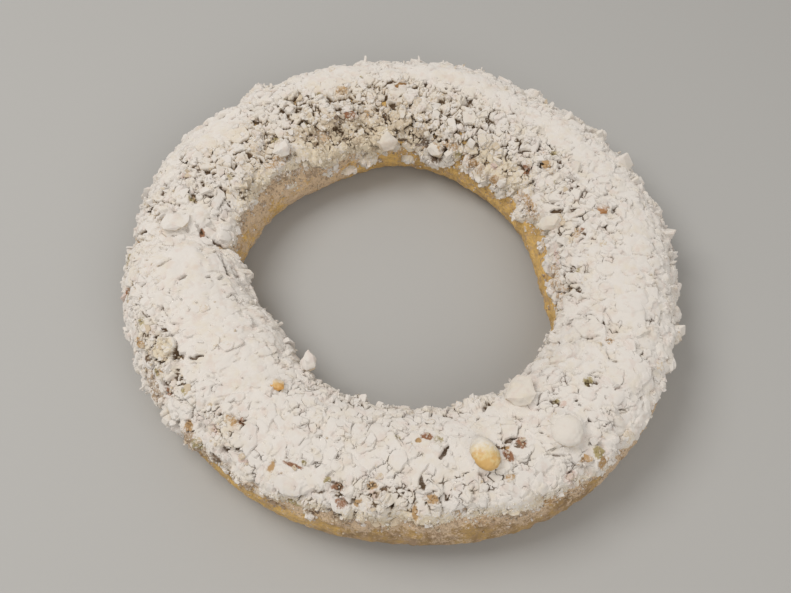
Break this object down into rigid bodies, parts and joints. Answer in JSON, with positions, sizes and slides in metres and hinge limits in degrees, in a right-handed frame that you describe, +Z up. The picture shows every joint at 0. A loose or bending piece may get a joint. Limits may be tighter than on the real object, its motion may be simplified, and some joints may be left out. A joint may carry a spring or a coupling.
{
  "type": "christmas pastry wreath",
  "caption": "Baked ring of sweet yeast dough under a thick broken crust of chopped nuts and powdered sugar, open in the middle, lying flat for serving.",
  "frame": {"origin": "under the middle of the wreath's bounding box, on the surface it lies on", "axes": "+Z up; +X along the wreath's longest side; the ends of the roll are joined on the -X side"},
  "size_m": [0.286, 0.2792, 0.0554],
  "materials": {
    "dough": "baked golden dough, dusted with flour and sugar",
    "sugar_crust": "chopped nuts under powdered sugar, dry and matt",
    "bare_nut": "bare pale yellow nut kernel, satin",
    "gold_nut": "lightly toasted nut, satin",
    "amber_nut": "caramelised nut, satin",
    "brown_nut": "toasted nut skin, satin"
  },
  "bodies": {
    "root": {"dough_ring": "dough", "nut_sugar_crust": "sugar_crust", "bare_kernel": "bare_nut", "sugared_kernel": "sugar_crust", "upright_chunk": "sugar_crust", "rim_chunk": "sugar_crust", "inner_chunk_1": "sugar_crust", "inner_chunk_2": "sugar_crust", "inner_chunk_3": "sugar_crust", "inner_chunk_4": "sugar_crust", "join_slab": "sugar_crust", "outer_flake": "sugar_crust", "gold_chip": "gold_nut", "amber_chip": "amber_nut", "brown_chip": "brown_nut"}
  },
  "joints": []
}
